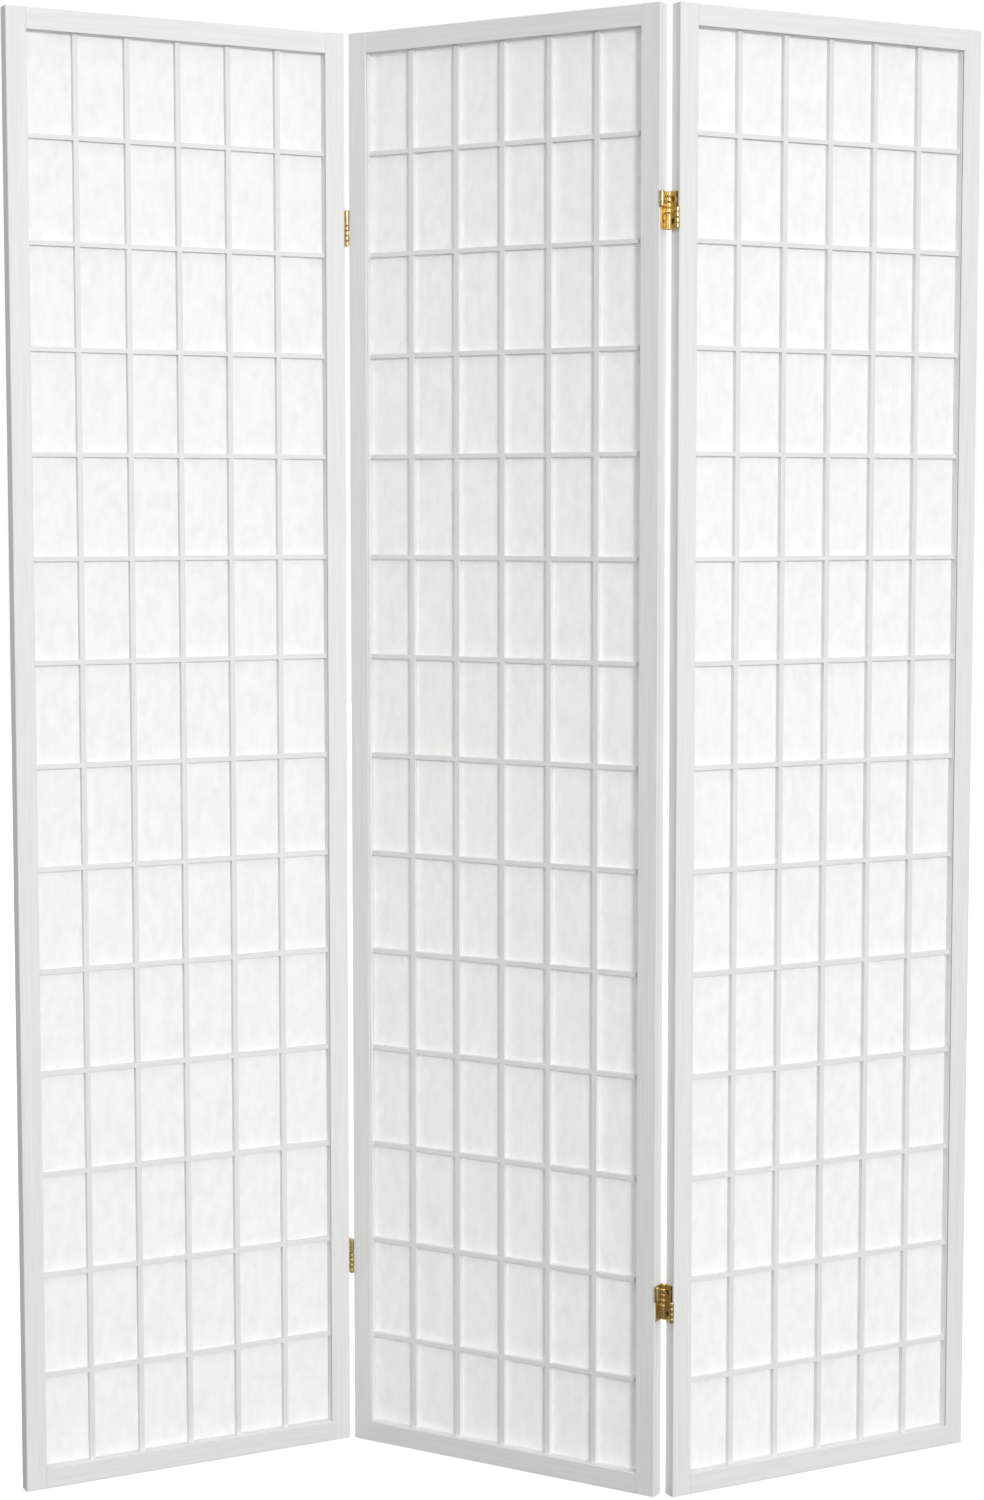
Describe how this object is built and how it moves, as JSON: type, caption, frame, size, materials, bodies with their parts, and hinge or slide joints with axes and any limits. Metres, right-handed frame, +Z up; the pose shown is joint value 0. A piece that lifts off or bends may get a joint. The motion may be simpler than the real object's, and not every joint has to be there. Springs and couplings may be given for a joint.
{
  "type": "folding shoji screen",
  "caption": "Free-standing folding room divider: white wooden panels with a window-pane lattice over translucent paper, joined by brass two-way hinges",
  "frame": {"origin": "on the floor under the middle of the middle panel, halfway through its thickness", "axes": "+Z up, fronts with the lattice face -Y, the panels run from left (-X) to right (+X) in a zig-zag"},
  "size_m": [1.1756, 0.2376, 1.784],
  "materials": {
    "painted_wood": "satin white paint over straight-grained softwood",
    "white_paper": "matt translucent fibre paper",
    "brass_sheet": "bright brass-plated pressed sheet",
    "brass_screws": "brass-plated countersunk screws"
  },
  "bodies": {
    "middle_panel": {"middle_stile_left": "painted_wood", "middle_stile_right": "painted_wood", "middle_rail_top": "painted_wood", "middle_rail_bottom": "painted_wood", "middle_lattice_uprights": "painted_wood", "middle_lattice_bars": "painted_wood", "middle_paper": "white_paper", "hinge_left_low_leaf_right": "brass_sheet", "hinge_left_low_screws_right": "brass_screws", "hinge_left_top_leaf_right": "brass_sheet", "hinge_left_top_screws_right": "brass_screws", "hinge_right_low_leaf_left": "brass_sheet", "hinge_right_low_screws_left": "brass_screws", "hinge_right_top_leaf_left": "brass_sheet", "hinge_right_top_screws_left": "brass_screws"},
    "left_links": {"hinge_left_low_link": "brass_sheet", "hinge_left_low_pins": "brass_sheet", "hinge_left_top_link": "brass_sheet", "hinge_left_top_pins": "brass_sheet"},
    "left_panel": {"left_stile_outer": "painted_wood", "left_stile_inner": "painted_wood", "left_rail_top": "painted_wood", "left_rail_bottom": "painted_wood", "left_lattice_uprights": "painted_wood", "left_lattice_bars": "painted_wood", "left_paper": "white_paper", "hinge_left_low_leaf_left": "brass_sheet", "hinge_left_low_screws_left": "brass_screws", "hinge_left_top_leaf_left": "brass_sheet", "hinge_left_top_screws_left": "brass_screws"},
    "right_links": {"hinge_right_low_link": "brass_sheet", "hinge_right_low_pins": "brass_sheet", "hinge_right_top_link": "brass_sheet", "hinge_right_top_pins": "brass_sheet"},
    "right_panel": {"right_stile_inner": "painted_wood", "right_stile_outer": "painted_wood", "right_rail_top": "painted_wood", "right_rail_bottom": "painted_wood", "right_lattice_uprights": "painted_wood", "right_lattice_bars": "painted_wood", "right_paper": "white_paper", "hinge_right_low_leaf_right": "brass_sheet", "hinge_right_low_screws_right": "brass_screws", "hinge_right_top_leaf_right": "brass_sheet", "hinge_right_top_screws_right": "brass_screws"}
  },
  "joints": [
    {"name": "left_front_pivot", "type": "hinge", "parent": "middle_panel", "child": "left_links", "pos_m": [-0.19697, 0.09976, 0.892], "axis": [0, 0, 1], "range_deg": [-58.5, 121.5]},
    {"name": "left_rear_pivot", "type": "hinge", "parent": "left_links", "child": "left_panel", "pos_m": [-0.20596, 0.11582, 0.892], "axis": [0, 0, 1], "range_deg": [-90, 0]},
    {"name": "right_rear_pivot", "type": "hinge", "parent": "middle_panel", "child": "right_links", "pos_m": [0.19697, -0.09976, 0.892], "axis": [0, 0, 1], "range_deg": [-58.5, 121.5]},
    {"name": "right_front_pivot", "type": "hinge", "parent": "right_links", "child": "right_panel", "pos_m": [0.20596, -0.11582, 0.892], "axis": [0, 0, 1], "range_deg": [-90, 0]}
  ]
}
